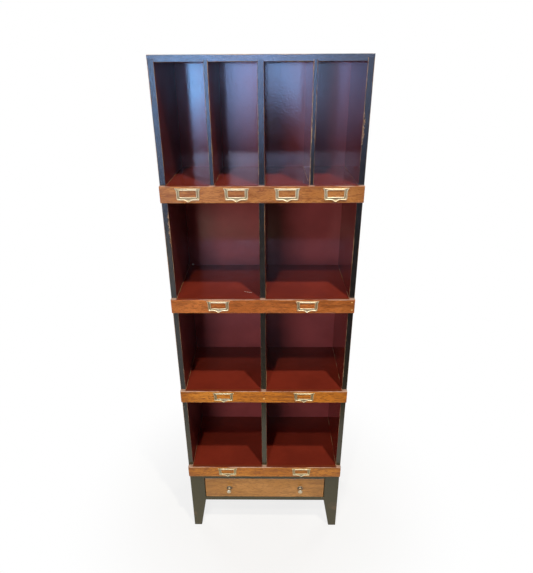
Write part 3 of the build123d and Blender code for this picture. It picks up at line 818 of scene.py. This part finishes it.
cloth.visible_camera = False

# The studio light is a dim white room with two warm ceiling lamps, a soft fill in front and
# two panels behind. A cool window stands behind the camera, which only the gloss paint shows.
fill = 0.04
world = bpy.data.worlds.new("studio")
bpy.context.scene.world = world
world.use_nodes = True
tree = world.node_tree
tree.nodes.clear()
strength = spread(tree, seen_rays(tree), 0.0, 1.0, fill, 1.0)
background = add(tree, "Background", {"Color": (1, 1, 1, 1), "Strength": strength})
add(tree, "OutputWorld", {"Surface": background.outputs[0]})


def lamp(name, place, aim, watts, size, colour):
    """An area lamp at a place, turned to a point."""
    light = bpy.data.lights.new(name, "AREA")
    light.shape = "RECTANGLE"
    light.size, light.size_y = size
    light.energy = watts
    light.color = colour
    obj = bpy.data.objects.new(name, light)
    bpy.context.scene.collection.objects.link(obj)
    obj.location = place
    obj.rotation_euler = (Vector(aim) - Vector(place)).to_track_quat("-Z", "Y").to_euler()
    obj.visible_camera = False
    return obj


case_middle = (0, -0.13, 1.0)
stand_middle = (0, 0, 0.9)
warm = (1.0, 0.92, 0.80)
cool = (0.96, 0.97, 1.0)
plain_white = (1.0, 1.0, 1.0)
lamp("ceiling_lamp_left", (-0.52, -2.32, 4.3), case_middle, 40, (0.11, 0.11), warm)
lamp("ceiling_lamp_right", (0.97, -1.73, 5.06), case_middle, 110, (0.13, 0.13), warm)
front_fill = lamp("front_fill", (-1.5, -4.25, 1.2), (-1.5, 0, 1.2), 98, (1.7, 1.6), cool)
front_fill.visible_glossy = False
lamp("rear_panel_left", (-2.6, 2.6, 1.8), stand_middle, 40, (1.6, 2.4), plain_white)
lamp("rear_panel_right", (2.6, 2.6, 1.8), stand_middle, 40, (1.6, 2.4), plain_white)

window_y = -4.3


def pane(name, left, right, foot, full, high, power, most, low_tint, high_tint, lean=0.0):
    """One bay of the window, which only gloss shows.

    From its foot to the height where it is full, its glow grows as a power of the height and turns
    from one tint to another; the foot may lean by so much a metre."""
    right_foot = foot + lean * (right - left)
    outline = [(left, foot), (left, high), (right, high), (right, right_foot)]
    mesh = bpy.data.meshes.new(name)
    mesh.from_pydata([(x, window_y, z) for x, z in outline], [], [(0, 1, 2, 3)])
    material, tree, surface = new_material(name + "_glow")
    surface.inputs["Base Color"].default_value = (0, 0, 0, 1)
    surface.inputs["Specular IOR Level"].default_value = 0.0
    point = coordinates(tree)
    sill = calc(tree, "MULTIPLY_ADD", point[0], lean, foot - lean * left)
    rise = calc(tree, "DIVIDE", calc(tree, "SUBTRACT", point[2], sill), full - foot)
    share = calc(tree, "MINIMUM", calc(tree, "MAXIMUM", rise, 0.0), 1.0)
    tree.links.new(blend(tree, share, (*low_tint, 1), (*high_tint, 1)), surface.inputs["Emission Color"])
    glow = calc(tree, "MULTIPLY", calc(tree, "POWER", share, power), most)
    tree.links.new(glow, surface.inputs["Emission Strength"])
    mesh.materials.append(material)
    bay = bpy.data.objects.new(name, mesh)
    bpy.context.scene.collection.objects.link(bay)
    bay.visible_camera = False
    bay.visible_diffuse = False
    bay.visible_shadow = False


window_head = 2.09
bays = [
    ("left", -1.06, -0.72, 0.70, 1.50, 1.4, 24.0, (0.45, 0.53, 1.0), (0.21, 0.51, 1.0), 0.0),
    ("middle", -0.54, -0.10, 0.60, 1.70, 1.5, 15.0, (0.58, 0.56, 1.0), (0.31, 0.51, 1.0), 0.0),
    ("right", -0.04, 0.50, 1.22, 1.74, 1.5, 13.0, (0.50, 0.55, 1.0), (0.30, 0.52, 1.0), -0.55),
    ("end", 0.54, 1.50, 0.45, 1.75, 1.4, 3.4, (0.65, 0.60, 1.0), (0.42, 0.60, 1.0), 0.0),
]
for name, left, right, foot, full, power, most, low_tint, high_tint, lean in bays:
    pane("window_" + name, left, right, foot, full, window_head, power, most, low_tint, high_tint, lean)
side_tint = (0.46, 0.63, 1.0)
side_parts = [
    ("curtain_left", -1.18, -1.06, 0.30, 0.32, 2.60, 0.25),
    ("curtain_middle", -0.72, -0.54, 0.30, 0.32, 2.60, 0.25),
    ("window_side", -1.95, -1.18, 0.10, 0.20, 2.35, 5.8),
]
for name, left, right, foot, full, high, most in side_parts:
    pane(name, left, right, foot, full, high, 1.0, most, side_tint, side_tint)
wall_tint = (0.66, 0.68, 1.0)
wall_parts = [
    ("left_transom", -1.06, -0.72, 2.10, 2.33, 2.34, 62.0),
    ("middle_transom", -0.54, -0.10, 2.10, 2.33, 2.34, 62.0),
    ("right_transom", -0.04, 1.50, 2.12, 2.33, 2.34, 16.0),
    ("wall_low_left", -1.06, -0.72, 2.33, 2.44, 2.58, 4.0),
    ("wall_low_middle", -0.54, -0.10, 2.33, 2.44, 2.58, 4.0),
    ("wall_low_right", -0.04, 1.50, 2.33, 2.34, 2.58, 1.6),
    ("wall_high_left", -0.88, -0.05, 2.58, 2.60, 2.96, 9.0),
    ("wall_high_right", 0.12, 1.50, 2.58, 2.60, 2.96, 2.6),
    ("wall_top", -1.06, 1.50, 2.96, 2.97, 3.45, 2.2),
]
for name, left, right, foot, full, high, most in wall_parts:
    pane(name, left, right, foot, full, high, 2.0, most, wall_tint, wall_tint)

# The camera stands a little right of the middle at eye level, about a metre and a third in
# front of the case, and looks down at it.
picture_height = 573
focal_pixels = 464.28
sensor_height = 24.0
yaw, pitch, roll = (math.radians(angle) for angle in (-0.686, 25.455, -0.33))
camera_data = bpy.data.cameras.new("camera")
camera_data.sensor_fit = "VERTICAL"
camera_data.sensor_height = sensor_height
camera_data.lens = focal_pixels / picture_height * sensor_height
camera = bpy.data.objects.new("camera", camera_data)
bpy.context.scene.collection.objects.link(camera)
camera.location = (0.0286, -1.4865, 1.7728)
upright = Matrix.Rotation(-yaw, 4, "Z") @ Matrix.Rotation(math.pi / 2 - pitch, 4, "X")
camera.matrix_world = Matrix.Translation(camera.location) @ upright @ Matrix.Rotation(roll, 4, "Z")
bpy.context.scene.camera = camera
bpy.context.scene.view_settings.view_transform = "Standard"
